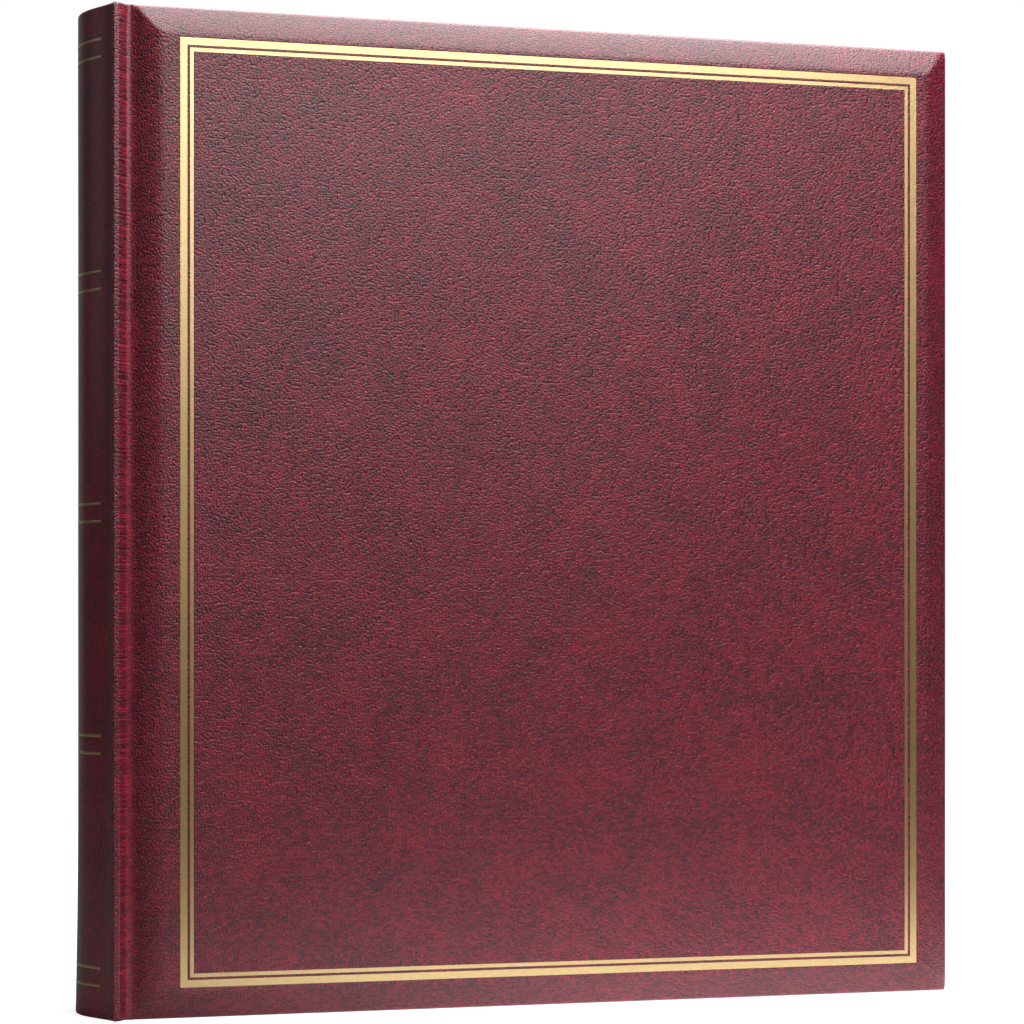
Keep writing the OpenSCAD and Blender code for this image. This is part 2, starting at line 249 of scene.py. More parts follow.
def merged(vertices, faces):
    """The same faces with equal points made one, less the faces that this closes."""
    points, place, index = [], {}, []
    for v in vertices:
        key = tuple(round(c, 6) for c in v)
        if key not in place:
            place[key] = len(points)
            points.append(v)
        index.append(place[key])
    kept = []
    for face in faces:
        face = [index[v] for v in face]
        face = [v for k, v in enumerate(face) if v != face[k - 1]]
        if len(face) > 2:
            kept.append(tuple(face))
    return points, kept


# ---------------------------------------------------------------- Materials

def srgb(r, g, b):
    """Linear colour of 8-bit sRGB values."""
    def one(c):
        c /= 255
        return c / 12.92 if c <= 0.04045 else ((c + 0.055) / 1.055) ** 2.4
    return (one(r), one(g), one(b), 1)


def add_node(tree, kind, **settings):
    node = tree.nodes.new("ShaderNode" + kind)
    for name, value in settings.items():
        setattr(node, name, value)
    return node


class Nodes:
    """A short way to write a material: each call adds a node and returns its result."""

    def __init__(self, name):
        self.material = bpy.data.materials.new(name)
        self.material.use_nodes = True
        self.tree = self.material.node_tree
        self.tree.nodes.clear()
        output = add_node(self.tree, "OutputMaterial")
        self.shader = add_node(self.tree, "BsdfPrincipled")
        self.tree.links.new(self.shader.outputs[0], output.inputs["Surface"])
        self.coords = add_node(self.tree, "TexCoord").outputs["Object"]

    def link(self, source, socket):
        if isinstance(source, bpy.types.NodeSocket):
            self.tree.links.new(source, socket)
        else:
            socket.default_value = source

    def scaled(self, x, y, z, source=None):
        node = add_node(self.tree, "VectorMath", operation="MULTIPLY")
        self.link(source or self.coords, node.inputs[0])
        node.inputs[1].default_value = (x, y, z)
        return node.outputs[0]

    def math(self, operation, a, b=0.0, c=0.0):
        node = add_node(self.tree, "Math", operation=operation)
        for socket, value in zip(node.inputs, (a, b, c)):
            self.link(value, socket)
        return node.outputs[0]

    def noise(self, vector, scale, detail=2.0, roughness=0.5, colour=False, flat=False):
        node = add_node(self.tree, "TexNoise", noise_dimensions="2D" if flat else "3D")
        self.link(vector, node.inputs["Vector"])
        node.inputs["Scale"].default_value = scale
        node.inputs["Detail"].default_value = detail
        node.inputs["Roughness"].default_value = roughness
        return node.outputs["Color" if colour else "Fac"]

    def cells(self, vector, scale, feature="F1", flat=False):
        node = add_node(self.tree, "TexVoronoi", feature=feature,
                        voronoi_dimensions="2D" if flat else "3D")
        self.link(vector, node.inputs["Vector"])
        node.inputs["Scale"].default_value = scale
        return node.outputs

    def ramp(self, value, low, high, from_value=0.0, to_value=1.0):
        node = add_node(self.tree, "MapRange", interpolation_type="SMOOTHSTEP")
        self.link(value, node.inputs["Value"])
        for name, number in (("From Min", low), ("From Max", high),
                             ("To Min", from_value), ("To Max", to_value)):
            node.inputs[name].default_value = number
        return node.outputs["Result"]

    def mix(self, share, a, b):
        node = add_node(self.tree, "Mix", data_type="RGBA")
        self.link(share, node.inputs["Factor"])
        self.link(a, node.inputs["A"])
        self.link(b, node.inputs["B"])
        return node.outputs["Result"]

    def add_vectors(self, a, b):
        node = add_node(self.tree, "VectorMath", operation="ADD")
        self.link(a, node.inputs[0])
        self.link(b, node.inputs[1])
        return node.outputs[0]

    def flat_place(self, width, height):
        """Coordinates for a flat pattern with cells of the given size, laid on the
        covers' faces and carried down their borders and rims, the grooves and the spine.
        The depth below a face is added along x, and along z near head and tail."""
        x, y, z = self.split()
        depth = self.math("SUBTRACT", HALF_T, self.math("ABSOLUTE", y))
        from_end = self.math("MINIMUM", z, self.math("SUBTRACT", HEIGHT, z))
        at_end = self.math("MULTIPLY", self.math("GREATER_THAN", x, PANEL_X0),
                           self.ramp(from_end, BORDER / 2, BORDER, 1.0, 0.0))
        between = self.math("SUBTRACT", 1.0, at_end)
        node = add_node(self.tree, "CombineXYZ")
        for i, (along, share, low, high, size) in enumerate((
                (x, between, SPINE_X, PANEL_X1, width), (z, at_end, 0, HEIGHT, height))):
            side = self.math("MULTIPLY_ADD", along, 2 / (high - low),
                             -1 - 2 * low / (high - low))
            down = self.math("MULTIPLY", depth, self.math("MULTIPLY", share, side))
            self.link(self.math("DIVIDE", self.math("ADD", along, down), size),
                      node.inputs[i])
        return node.outputs[0]

    def split(self, vector=None):
        node = add_node(self.tree, "SeparateXYZ")
        self.link(vector or self.coords, node.inputs[0])
        return node.outputs

    def bump(self, height, distance, strength=1.0):
        node = add_node(self.tree, "Bump")
        node.inputs["Strength"].default_value = strength
        node.inputs["Distance"].default_value = distance
        self.link(height, node.inputs["Height"])
        return node.outputs[0]

    def finish(self, colour, roughness, normal, **constants):
        """Link what varies and set the rest, which stays constant for the export."""
        self.link(colour, self.shader.inputs["Base Color"])
        self.link(roughness, self.shader.inputs["Roughness"])
        self.link(normal, self.shader.inputs["Normal"])
        for name, value in constants.items():
            self.shader.inputs[name.replace("_", " ")].default_value = value
        return self.material


GRAIN_W = 0.9 * MM                   # size of one pebble of the grain
GRAIN_H = 0.72 * MM
GRAIN_DEPTH = 0.42 * MM
COAT_GRAIN_DEPTH = 0.03 * MM         # the gloss over the leather fills most of the grain
FOIL_GRAIN_DEPTH = 0.012 * MM
# Where the grain is pressed flat: distances from where it starts to where it has its full
# height again, and the share that is left of it
SPINE_PRESSED = (20.8 * MM, 22.6 * MM, 0.3)
RIM_PRESSED = (0.4 * MM, 1.6 * MM, 0.1)
RIM_PRESSED_Y = RIM_Y - 0.6 * MM     # middle of the pressed strip along a rim


def pebble_grain(n):
    """Pressed leather grain: rounded pebbles, wider than high, with creases between them.
    Returns (height, crease, tone), where tone differs from pebble to pebble."""
    place = n.flat_place(GRAIN_W, GRAIN_H)
    wobble = n.noise(place, scale=1.3, detail=1.0, roughness=0.5, colour=True, flat=True)
    place = n.add_vectors(place, n.scaled(0.7, 0.7, 0, wobble))
    edge = n.cells(place, 1.0, "DISTANCE_TO_EDGE", flat=True)["Distance"]
    pebbles = n.cells(place, 1.0, flat=True)
    tone = n.split(pebbles["Color"])[0]
    fine = n.noise(place, scale=2.6, detail=1.0, roughness=0.6, flat=True)
    dome = n.math("MULTIPLY", n.math("POWER", pebbles["Distance"], 2.0), -2.0)
    height = n.math("MULTIPLY_ADD", fine, 0.45, dome)
    return height, n.ramp(edge, 0.0, 0.14, 1.0, 0.0), n.math("MULTIPLY_ADD", fine, 1.2, tone)


def leatherette(name, spine=False):
    """The binding's leather cloth. Its grain is pressed flat on the arch of the spine and
    where a cover's skin is drawn round the rims."""
    n = Nodes(name)
    height, crease, tone = pebble_grain(n)
    patches = n.noise(n.coords, scale=45, detail=2.0, roughness=0.55)
    clouds = n.noise(n.scaled(1, 1, 1.3), scale=300, detail=3.0, roughness=0.65)
    mottle = n.math("MULTIPLY_ADD", clouds, 0.14, n.math("MULTIPLY", patches, 0.22))
    share = n.ramp(n.math("MULTIPLY_ADD", tone, 0.25, mottle), 0.27, 0.65)
    colour = n.mix(share, srgb(64, 14, 30), srgb(130, 22, 43))
    out = n.math("ABSOLUTE", n.split()[1])
    if spine:
        low, high, left = SPINE_PRESSED
    else:
        out = n.math("ABSOLUTE", n.math("SUBTRACT", out, RIM_PRESSED_Y))
        low, high, left = RIM_PRESSED
    pressed = n.ramp(out, low, high, left, 1.0)
    height = n.math("MULTIPLY", height, pressed)
    crease = n.math("MULTIPLY", crease, pressed)
    # Painted shade: the creases between the pebbles are painted darker, standing in for the
    # shade that falls into them.
    colour = n.mix(n.math("MULTIPLY", crease, 0.9), colour, srgb(30, 6, 14))
    normal = n.bump(height, GRAIN_DEPTH)
    n.link(n.bump(height, COAT_GRAIN_DEPTH), n.shader.inputs["Coat Normal"])
    return n.finish(colour, n.math("MULTIPLY_ADD", crease, 0.2, 0.35), normal,
                    Specular_IOR_Level=0.15, Coat_Weight=0.68, Coat_Roughness=0.24)


def gold_foil():
    """Foil pressed on the grain, worn through to the leather here and there."""
    n = Nodes("gold_foil")
    height, crease, tone = pebble_grain(n)
    worn = n.noise(n.coords, scale=1900, detail=2.0, roughness=0.7)
    bare = n.ramp(n.math("MULTIPLY_ADD", crease, 0.4, worn), 0.92, 1.25)
    colour = n.mix(n.math("MULTIPLY_ADD", tone, 0.3, n.math("MULTIPLY", worn, 0.5)),
                   srgb(186, 156, 100), srgb(206, 176, 122))
    colour = n.mix(bare, colour, srgb(70, 42, 22))
    roughness = n.math("MULTIPLY_ADD", worn, 0.08, 0.25)
    normal = n.bump(height, FOIL_GRAIN_DEPTH)
    n.link(n.ramp(bare, 0.0, 1.0, 0.95, 0.4), n.shader.inputs["Metallic"])
    return n.finish(colour, roughness, normal, Coat_Weight=1.0, Coat_Roughness=0.2)


def paper(name, low, high, fibre=900.0, roughness=0.85):
    n = Nodes(name)
    fibres = n.noise(n.scaled(1, 1, 3.0), scale=fibre, detail=4.0, roughness=0.65)
    clouds = n.noise(n.coords, scale=60, detail=3.0, roughness=0.6)
    share = n.math("MULTIPLY_ADD", clouds, 0.5, n.math("MULTIPLY", fibres, 0.5))
    colour = n.mix(share, low, high)
    normal = n.bump(fibres, distance=0.05 * MM, strength=0.35)
    return n.finish(colour, roughness, normal, Specular_IOR_Level=0.3)


def woven(name, low, high, pitch, depth):
    """A plain weave with threads of the given pitch and relief."""
    n = Nodes(name)
    x, y, z = n.split()
    turn = math.tau / pitch
    along = n.math("SINE", n.math("MULTIPLY", n.math("ADD", x, y), turn))
    across = n.math("SINE", n.math("MULTIPLY", z, turn))
    weave = n.math("MULTIPLY_ADD", n.math("MULTIPLY", along, across), 0.5, 0.5)
    fuzz = n.noise(n.coords, scale=2500, detail=3.0, roughness=0.7)
    share = n.math("MULTIPLY_ADD", fuzz, 0.4, n.math("MULTIPLY", weave, 0.6))
    colour = n.mix(share, low, high)
    normal = n.bump(n.math("MULTIPLY_ADD", fuzz, 0.4, weave), depth, strength=0.7)
    return n.finish(colour, 0.9, normal, Specular_IOR_Level=0.2, Sheen_Weight=0.3)


def glassine_film():
    n = Nodes("glassine")
    haze = n.noise(n.coords, scale=500, detail=4.0, roughness=0.6)
    colour = n.mix(haze, srgb(196, 203, 204), srgb(222, 227, 226))
    normal = n.bump(haze, distance=0.03 * MM, strength=0.3)
    return n.finish(colour, n.math("MULTIPLY_ADD", haze, 0.2, 0.25), normal,
                    Alpha=0.42, Specular_IOR_Level=0.5)


STRIPE_PITCH = 3.2 * MM              # of the head and tail bands
THREAD_PITCH = 0.4 * MM


def striped_cloth():
    n = Nodes("band_cloth")
    y = n.split()[1]
    stripe = n.math("SINE", n.math("MULTIPLY", y, math.tau / STRIPE_PITCH))
    thread = n.math("SINE", n.math("MULTIPLY", y, math.tau / THREAD_PITCH))
    colour = n.mix(n.ramp(stripe, -0.25, 0.25), srgb(232, 222, 200), srgb(122, 32, 42))
    normal = n.bump(thread, distance=0.08 * MM, strength=0.8)
    return n.finish(colour, 0.7, normal, Specular_IOR_Level=0.3, Sheen_Weight=0.4)


def greyboard():
    n = Nodes("greyboard")
    fibres = n.noise(n.scaled(1, 6, 1), scale=700, detail=5.0, roughness=0.7)
    colour = n.mix(fibres, srgb(120, 114, 106), srgb(168, 162, 152))
    normal = n.bump(fibres, distance=0.1 * MM, strength=0.5)
    return n.finish(colour, 0.92, normal, Specular_IOR_Level=0.2)


def foam():
    n = Nodes("foam")
    cells = n.cells(n.coords, 1400)["Distance"]
    colour = n.mix(cells, srgb(236, 232, 220), srgb(206, 200, 184))
    normal = n.bump(cells, distance=0.2 * MM, strength=0.7)
    return n.finish(colour, 0.95, normal, Specular_IOR_Level=0.15)


COVER_LEATHER = leatherette("cover_leatherette")
SPINE_LEATHER = leatherette("spine_leatherette", spine=True)
GOLD = gold_foil()
ENDPAPER = paper("endpaper", srgb(226, 218, 198), srgb(243, 238, 224))
KRAFT = paper("kraft_paper", srgb(150, 116, 76), srgb(186, 150, 104))
BLACK_CARD = paper("black_card", srgb(24, 23, 25), srgb(44, 43, 46), fibre=1500.0,
                   roughness=0.8)
GAUZE = woven("gauze", srgb(206, 196, 170), srgb(232, 226, 206), 1.1 * MM, 0.15 * MM)
GUARD_LINEN = woven("guard_linen", srgb(22, 22, 24), srgb(52, 51, 54), 0.7 * MM, 0.08 * MM)
GLASSINE = glassine_film()
BAND_CLOTH = striped_cloth()
GREYBOARD = greyboard()
FOAM = foam()

SLOT_MATERIALS = {
    "cover_leatherette": COVER_LEATHER, "spine_leatherette": SPINE_LEATHER,
    "gold_foil": GOLD, "greyboard": GREYBOARD, "foam": FOAM, "endpaper": ENDPAPER,
    "kraft_paper": KRAFT, "gauze": GAUZE, "guard_linen": GUARD_LINEN,
    "band_cloth": BAND_CLOTH, "black_card": BLACK_CARD, "glassine": GLASSINE,
}


def dress_nodes():
    """Every CAD node that stays gets its slot's material."""
    slots = {s["node"]: s["material_slot"] for s in frame["record"]["subparts"]}
    for name, node in frame["nodes"].items():
        node.data.materials.clear()
        node.data.materials.append(SLOT_MATERIALS[slots[name]])


# ---------------------------------------------------------------- Spine

SPINE_WAVES = make_waves(3, 5, 60 * MM, 160 * MM)
SPINE_WAVE = 0.05 * MM               # height of the waves
SPINE_WAVE_REACH = 11 * MM           # full waves up to here from the middle, none at twice it
FLARE = 0.9 * MM                     # how much further out the arch stands at the tail
FLARE_REACH = 80 * MM
SHOULDER_SHARE = 0.25                # share of a depth past the skin that counts at the
                                     # shoulders, where leather and card are squeezed
SQUEEZE_FALL = 8                     # how fast that share grows to 1 towards the middle
SPINE_STEP = 0.2 * MM
CREST_POINTS = 9                     # points round a shoulder's crest
ARCH_POINTS = 31                     # points in half of the arch
SPINE_EDGE_R = 0.9 * MM              # rounding at head and tail
EDGE_POINTS = 7
TURN_IN_ROWS = (3 * MM, 8 * MM, TURN_IN_W)
END_ROWS = 9 * MM                    # reach of the close rows at head and tail
CLOSE_ROWS = 1.2 * MM
WIDE_ROWS = 6 * MM


def spine_face(y, z):
    """X of the spine leather's outer face."""
    flare = 1 + FLARE / BULGE * np.clip(1 - z / FLARE_REACH, 0, 1) ** 2
    inner = np.clip(2 - np.abs(y) / SPINE_WAVE_REACH, 0, 1)
    wave = wave_height(SPINE_WAVES, y, z, SPINE_WAVE) * inner
    return SPINE_X + (arch_x(y) - SPINE_X) * flare - wave


def spine_outline(z):
    """Points (x, y, inward x, inward y, depth share) across the spine's face at height z,
    from the back groove to the front one."""
    half = []
    for x in spread(CREST_X, JOINT_X0, SPINE_STEP)[::-1]:
        fall = (groove_depth(x + DELTA, z) - groove_depth(x - DELTA, z)) / (2 * DELTA)
        size = math.hypot(1, fall)
        half.append((x, HALF_T - float(groove_depth(x, z)), -fall / size, -1 / size,
                     SHOULDER_SHARE))
    for a in np.linspace(0, -90, CREST_POINTS)[1:]:
        s, c = math.sin(math.radians(a)), math.cos(math.radians(a))
        half.append((CREST_X + SHOULDER_R * s, CREST_Y + SHOULDER_R * c, -s, -c,
                     SHOULDER_SHARE))
    for t in np.linspace(1, 0, ARCH_POINTS)[1:]:
        y = CREST_Y * t
        half.append((float(spine_face(y, z)), y, 1.0, 0.0,
                     min(1.0, SHOULDER_SHARE + (1 - t) * SQUEEZE_FALL)))
    other = [(x, -y, nx, -ny, share) for x, y, nx, ny, share in reversed(half[:-1])]
    return half + other


def build_spine():
    """The spine's leather, in rows from the turned-in tail over the face to the head."""
    edge_r = SPINE_EDGE_R
    full = SKIN_T * 2 + SPINE_CARD_T
    # (depth, height above the tail) of one end, from the outer face round to the inside
    end = [(edge_r * (1 - math.sin(a)), edge_r * (1 - math.cos(a)))
           for a in np.linspace(math.pi / 2, 0, EDGE_POINTS)]
    end += [(full - edge_r * (1 - math.sin(a)), edge_r * (1 - math.cos(a)))
            for a in np.linspace(0, math.pi / 2, EDGE_POINTS)]
    end += [(full, z) for z in TURN_IN_ROWS]
    middle = [(0.0, z) for z in np.concatenate([
        spread(edge_r, END_ROWS, CLOSE_ROWS)[1:],
        spread(END_ROWS, HEIGHT - END_ROWS, WIDE_ROWS)[1:-1],
        spread(HEIGHT - END_ROWS, HEIGHT - edge_r, CLOSE_ROWS)[:-1]])]
    rows = [(d, z) for d, z in reversed(end)] + middle + [(d, HEIGHT - z) for d, z in end]
    vertices = []
    for depth, z in rows:
        for x, y, nx, ny, share in spine_outline(z):
            real = depth if depth <= SKIN_T else SKIN_T + (depth - SKIN_T) * share
            vertices.append((x + nx * real, y + ny * real, z))
    columns = len(vertices) // len(rows)
    piece = solid_sheet("spine_skin", vertices, grid_faces(len(rows), columns),
                        DRESSED_T, SPINE_LEATHER)
    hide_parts("spine_leather")
    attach(piece, "binding")


FOIL_T = 0.05 * MM
RULE_POINTS = 49                     # points along a spine rule
# Section of a spine rule: share of its half width, and how far it stands off the leather
RULE_SECTION = ((-1, 0.01 * MM), (-0.8, 0.05 * MM), (0, 0.06 * MM), (0.8, 0.05 * MM),
                (1, 0.01 * MM))


def build_spine_rules():
    """Thin bars of foil on the spine's face, at the heights that the node's bars have."""
    low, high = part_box("spine_gold_rules")
    node = frame["nodes"]["spine_gold_rules"]
    heights = sorted({round(v.co.z, 5) for v in node.data.vertices})
    vertices, faces = [], []
    across = np.linspace(low.y, high.y, RULE_POINTS)
    for bottom, top in zip(heights[0::2], heights[1::2]):
        start = len(vertices)
        mid, half = (bottom + top) / 2, (top - bottom) / 2
        for share, stand in RULE_SECTION:
            z = mid + share * half
            for y in across:
                vertices.append((float(spine_face(y, z)) - stand, y, z))
        faces += grid_faces(len(RULE_SECTION), len(across), start, flip=True)
    piece = solid_sheet("spine_rules", vertices, faces, FOIL_T, GOLD)
    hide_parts("spine_gold_rules")
    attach(piece, "binding")


# ---------------------------------------------------------------- Covers

EDGE_R = 0.6 * MM                    # rounding between a cover's face and its rims
EDGE_DROP = 0.8 * MM                 # height that this rounding takes down the rim
INNER_R = 0.6 * MM                   # rounding between the rims and the turned-in skin
CORNER_FAN = 6                       # directions round an outer corner
TURN_IN_SHARES = (0.0, 0.25, 0.6, 1.0)    # stations across the turned-in skin
MITRE_SHARPNESS = 6.0
BREAK = 0.2                          # softness of the line where a border meets the panel
STRAIGHT = 0.5                       # share of a straight chamfer in a border's arch
BORDER_STEP = 0.5 * MM
PANEL_STEP = 4 * MM
STATION_GAP = 0.3 * MM               # least gap between an even station and a rule's edge
WIDE_W = 2.4 * MM
THIN_W = 1.3 * MM
# The frame's rules as (low corner, high corner, width)
RULES = ((*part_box("front_gold_rule_wide"), WIDE_W),
         (*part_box("front_gold_rule_thin"), THIN_W))
FOIL_BED = 0.14 * MM                 # depth of the beds that the rules are pressed into
FOIL_STAND = 0.06 * MM               # the foil's face above its bed
BED_EDGE = 0.06 * MM                 # half the width of a bed's sloping side
BED_STATIONS = (-2.5, -1, 1, 2.5)    # stations round a rule's edge, in BED_EDGE
COVER_WAVES = make_waves(11, 7, 60 * MM, 200 * MM)
COVER_WAVE = 0.13 * MM               # height of the waves


def rule_stations(axis):
    """Stations on both sides of each edge of the two rules, along x (0) or z (2)."""
    stations = []
    for low, high, width in RULES:
        for edge in (low[axis], low[axis] + width, high[axis] - width, high[axis]):
            stations += [edge + share * BED_EDGE for share in BED_STATIONS]
    return np.round(np.array(stations), 7)


def in_rule(x, z, low, high, width, margin=0.0):
    """Whether a point is in a rule of the frame, made wider by a margin on each side."""
    def within(inset):
        return low.x + inset < x < high.x - inset and low.z + inset < z < high.z - inset
    return within(-margin) and not within(width + margin)


def border_drop(s):
    """Drop of the padding a distance s in from a rim."""
    t = np.clip(1 - s / BORDER, 0, 1)
    straight = (np.hypot(t, BREAK) - BREAK) / (math.hypot(1, BREAK) - BREAK)
    return LIFT * (STRAIGHT * straight + (1 - STRAIGHT) * t * t)


def panel_depth(x, z):
    """Depth of the cover's face below the middle of the panel, with soft mitres."""
    p = MITRE_SHARPNESS
    return (groove_depth(x, z) ** p + border_drop(PANEL_X1 - x) ** p
            + border_drop(z) ** p + border_drop(HEIGHT - z) ** p) ** (1 / p)


def stations(low, high, axis):
    """Fine near both borders, coarse between, exact at the rules' edges."""
    made = np.concatenate([spread(low, low + BORDER, BORDER_STEP),
                           spread(low + BORDER, high - BORDER, PANEL_STEP),
                           spread(high - BORDER, high, BORDER_STEP)])
    edges = rule_stations(axis)
    kept = [s for s in np.round(made, 7) if np.abs(edges - s).min() > STATION_GAP]
    return np.unique(np.concatenate([kept, edges]))


def cover_face(side, gilt):
    """Stations along x and z of the panel's face, and its depth at each."""
    x = stations(PANEL_X0, PANEL_X1 - EDGE_R, 0)
    z = stations(EDGE_R, HEIGHT - EDGE_R, 2)
    grid_x, grid_z = np.meshgrid(x, z, indexing="ij")
    depth = panel_depth(grid_x, grid_z)
    calm = np.clip(1 - depth / LIFT, 0, 1)
    depth = depth + calm * wave_height(COVER_WAVES, grid_x * side, grid_z, COVER_WAVE)
    if gilt:
        for i, a in enumerate(x):
            for j, b in enumerate(z):
                if any(in_rule(a, b, *rule) for rule in RULES):
                    depth[i, j] += FOIL_BED
    return x, z, depth


def rim_profile(drop, slope):
    """(reach outwards, depth) down a rim, from the face's edge at depth drop to the
    inside of the cover."""
    inner = HALF_T - TURN_IN_Y
    knee, low = drop + EDGE_R * slope, drop + EDGE_R * slope + EDGE_DROP
    made = []
    for t in np.linspace(0, 1, EDGE_POINTS)[1:]:
        made.append((EDGE_R * (1 - (1 - t) ** 2),
                     (1 - t) ** 2 * drop + 2 * t * (1 - t) * knee + t * t * low))
    made.append((EDGE_R, (low + inner - INNER_R) / 2))
    for a in np.linspace(0, math.pi / 2, 5):
        made.append((EDGE_R - INNER_R * (1 - math.cos(a)),
                     inner - INNER_R * (1 - math.sin(a))))
    return made


def build_cover(side, name, node, gilt):
    """A cover's skin: its face, its rims and the turned-in skin. side is -1 for the front
    cover and 1 for the back one."""
    x, z, depth = cover_face(side, gilt)
    rows, columns = depth.shape
    vertices = [(a, side * (HALF_T - depth[i, j]), b)
                for i, a in enumerate(x) for j, b in enumerate(z)]
    faces = grid_faces(rows, columns, flip=side < 0)
    # Round the rim as (point of the face, direction outwards): along the tail, up the fore
    # edge and back along the head, with a fan of directions at the two outer corners
    last = (rows - 1) * columns
    fan = np.linspace(0, math.pi / 2, CORNER_FAN)
    around = [(i * columns, 0.0, -1.0) for i in range(rows - 1)]
    around += [(last, math.sin(a), -math.cos(a)) for a in fan]
    around += [(last + j, 1.0, 0.0) for j in range(1, columns - 1)]
    around += [(last + columns - 1, math.cos(a), math.sin(a)) for a in fan]
    around += [(i * columns + columns - 1, 0.0, 1.0) for i in range(rows - 2, -1, -1)]
    slope = float(border_drop(EDGE_R) - border_drop(EDGE_R + DELTA)) / DELTA
    x1, z0, z1 = x[-1], z[0], z[-1]
    columns_out = []
    for v, out_x, out_z in around:
        at_x, at_y, at_z = vertices[v]
        column = [(at_x + out_x * reach, side * (HALF_T - d), at_z + out_z * reach)
                  for reach, d in rim_profile(HALF_T - side * at_y, slope)]
        # The turned-in skin, mitred at the corners
        room = x1 - at_x if out_x == 0 else min(at_z - z0, z1 - at_z)
        for inward in TURN_IN_SHARES:
            reach = -min(inward * (TURN_IN_W - EDGE_R), max(room, 0.0))
            if 0 < abs(out_x) < 1:
                reach = 0.0
            column.append((at_x + out_x * reach, side * TURN_IN_Y, at_z + out_z * reach))
        columns_out.append(column)
    previous = [v for v, _, _ in around]
    for step in range(len(columns_out[0])):
        start = len(vertices)
        vertices += [column[step] for column in columns_out]
        current = list(range(start, start + len(around)))
        for k in range(len(around) - 1):
            face = [previous[k], previous[k + 1], current[k + 1], current[k]]
            if face[0] == face[1]:
                face = face[1:]
            faces.append(tuple(face[::-1] if side < 0 else face))
        previous = current
    vertices, faces = merged(vertices, faces)    # the mitres' points fall together
    piece = solid_sheet(name, vertices, faces, DRESSED_T, COVER_LEATHER)
    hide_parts(node)
    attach(piece, "front_cover" if side < 0 else "back_cover")
    return x, z, depth


def build_foil(name, node, x, z, depth, rule):
    """The foil lies in its bed, on the same stations as the leather under it."""
    index, vertices, faces = {}, [], []

    def corner(i, j):
        if (i, j) not in index:
            index[(i, j)] = len(vertices)
            vertices.append((x[i], -(HALF_T - depth[i, j] + FOIL_STAND), z[j]))
        return index[(i, j)]

    for i in range(len(x) - 1):
        for j in range(len(z) - 1):
            middle = (x[i] + x[i + 1]) / 2, (z[j] + z[j + 1]) / 2
            if in_rule(*middle, *rule, margin=-BED_EDGE / 2):
                faces.append((corner(i, j), corner(i + 1, j), corner(i + 1, j + 1),
                              corner(i, j + 1)))
    piece = solid_sheet(name, vertices, faces, FOIL_T, GOLD)
    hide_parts(node)
    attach(piece, "front_cover")


JOINT_LAP = 0.03 * MM                # how far the groove's skin runs under its neighbours
JOINT_STEP = 0.15 * MM
JOINT_END_ROWS = 1.5 * MM            # where the even rows start
# (depth, height) of the rounded edge at head and tail
JOINT_EDGE = ((0.4 * MM, 0.0), (0.15 * MM, 0.06 * MM), (0.04 * MM, 0.2 * MM),
              (0.0, 0.45 * MM))


def build_joint(side, name, node):
    """Leather across the groove, between the spine and a cover."""
    across = spread(JOINT_X0 - JOINT_LAP, PANEL_X0 + JOINT_LAP, JOINT_STEP)
    rows = list(JOINT_EDGE)
    rows += [(0.0, z) for z in spread(JOINT_END_ROWS, END_ROWS, CLOSE_ROWS)]
    rows += [(0.0, z) for z in spread(END_ROWS, HEIGHT - END_ROWS, WIDE_ROWS)[1:-1]]
    rows += [(0.0, z) for z in spread(HEIGHT - END_ROWS, HEIGHT - JOINT_END_ROWS, CLOSE_ROWS)]
    rows += [(d, HEIGHT - z) for d, z in reversed(JOINT_EDGE)]
    vertices = [(a, side * (HALF_T - d - float(groove_depth(a, b))), b)
                for a in across for d, b in rows]
    piece = solid_sheet(name, vertices, grid_faces(len(across), len(rows), flip=side < 0),
                        SKIN_T, COVER_LEATHER)
    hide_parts(node)
    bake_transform(piece)


# ---------------------------------------------------------------- Stage

# The camera is fitted to the photo's outline
FOCAL_PX = 3500.0
FRAME_PX = 1024.0
HORIZON_PX = 627.0                   # row of the horizon, from the top
SENSOR_MM = 36
CAMERA_POINT = (-0.3789, -1.1031, 0.1238)
CAMERA_TURN = 18.88                  # degrees to the right of +Y
WORLD_DULL = 0.12                    # light of the world on dull surfaces
WORLD_GLOSSY = 0.02                  # what reflections show of it
FLOOR_COLOUR = 0.4                   # grey of the floor
FLOOR_REFLECTED = 0.12               # the same as reflections show it
# The floor glows in a pool of light: its strength near and far, the distances at which it
# starts and stops to fade, its middle (x, y) and how much longer it is along x
Pool = namedtuple("Pool", "near far start end middle stretch")
# For the eye. The lamps make the floor near the album white, except in its shadow.
FLOOR_SEEN = Pool(near=0.8, far=1.0, start=0.5, end=1.4, middle=(0.12, -0.17), stretch=1.0)
# For dull surfaces, which it lights from below, and for glossy ones, which mirror it
FLOOR_DULL = Pool(near=2.6, far=0.0, start=0.03, end=0.075, middle=(0.13, -0.02),
                  stretch=4.0)
FLOOR_GLOSSY = Pool(near=2.0, far=0.0, start=0.07, end=0.16, middle=(0.09, -0.11),
                    stretch=1.8)
FLOOR_SIZE = 6.0
FLOOR_FRONT = -0.35                  # the floor's front edge, below the picture
# Each lamp's name, place, target, size and power
LAMPS = (
    ("key", (0.38, -1.55, 0.68), (0.0, 0.0, 0.17), (0.8, 0.5), 4.8),
    ("upper_front", (0.2, -0.4, 0.95), (0.1, 0.0, 0.2), (0.7, 1.2), 21),
    ("upper_back", (0.3, 0.3, 1.15), (0.12, 0.0, 0.2), (0.9, 0.6), 12),
    ("fill", (0.14, -0.24, 0.62), (0.14, 0.0, 0.27), (0.3, 0.15), 1.1),
    ("side", (-1.1, 0.6, 0.5), (0.0, 0.0, 0.17), (0.5, 0.5), 0.3),
    ("white_wall", (0.15, 1.7, 0.6), (0.15, 0.0, 0.6), (2.3, 1.8), 2.2),
)


